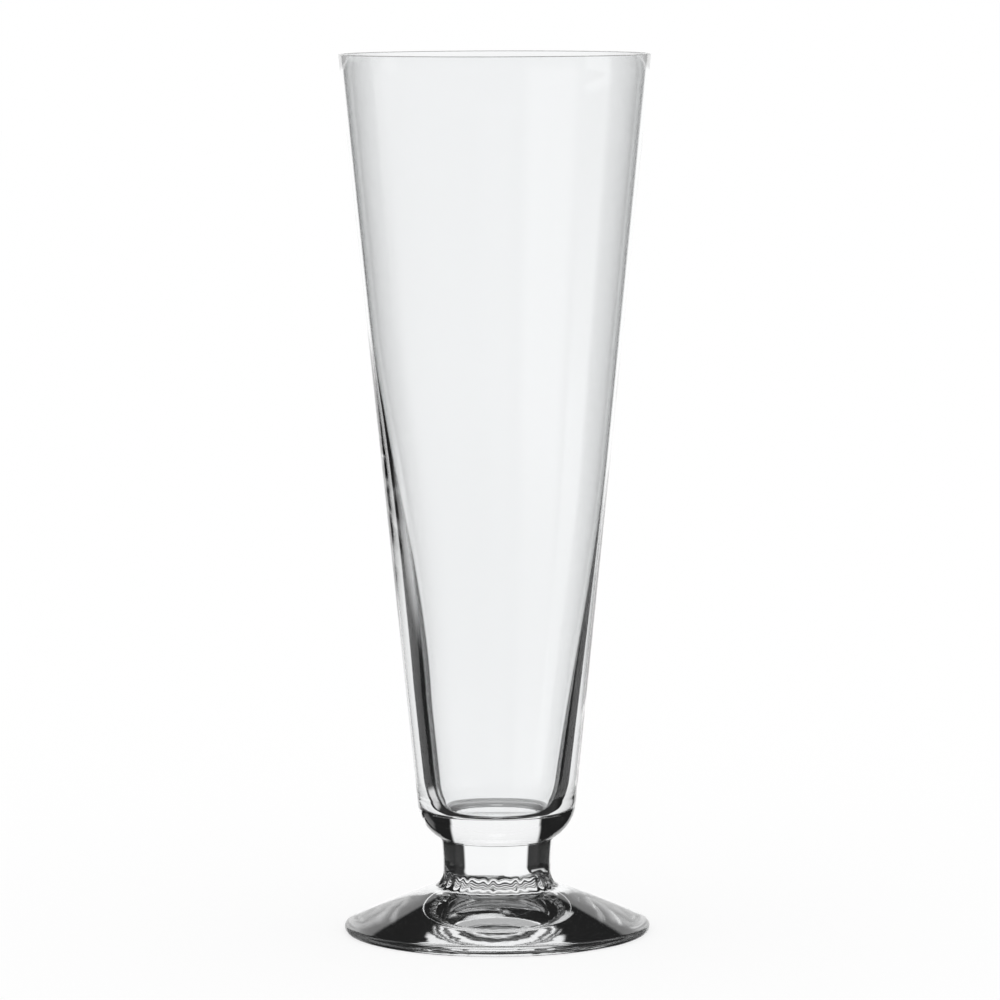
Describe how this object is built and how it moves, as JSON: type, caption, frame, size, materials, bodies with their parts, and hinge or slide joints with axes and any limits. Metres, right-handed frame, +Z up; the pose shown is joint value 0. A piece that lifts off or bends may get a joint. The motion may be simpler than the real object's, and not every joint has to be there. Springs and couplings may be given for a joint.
{
  "type": "pilsner glass",
  "caption": "Tall footed drinking glass: straight conical bowl with a heavy base, short waisted stem and coned disc foot, all clear glass.",
  "frame": {"origin": "middle of the face the glass stands on, on its axis", "axes": "+Z up along the axis of the glass, towards the lip; the glass is round, so +X and +Y are alike"},
  "size_m": [0.0794, 0.0794, 0.225],
  "materials": {
    "clear_glass": "clear, fire-polished gloss"
  },
  "bodies": {
    "root": {"bowl": "clear_glass", "stem": "clear_glass", "foot": "clear_glass"}
  },
  "joints": []
}
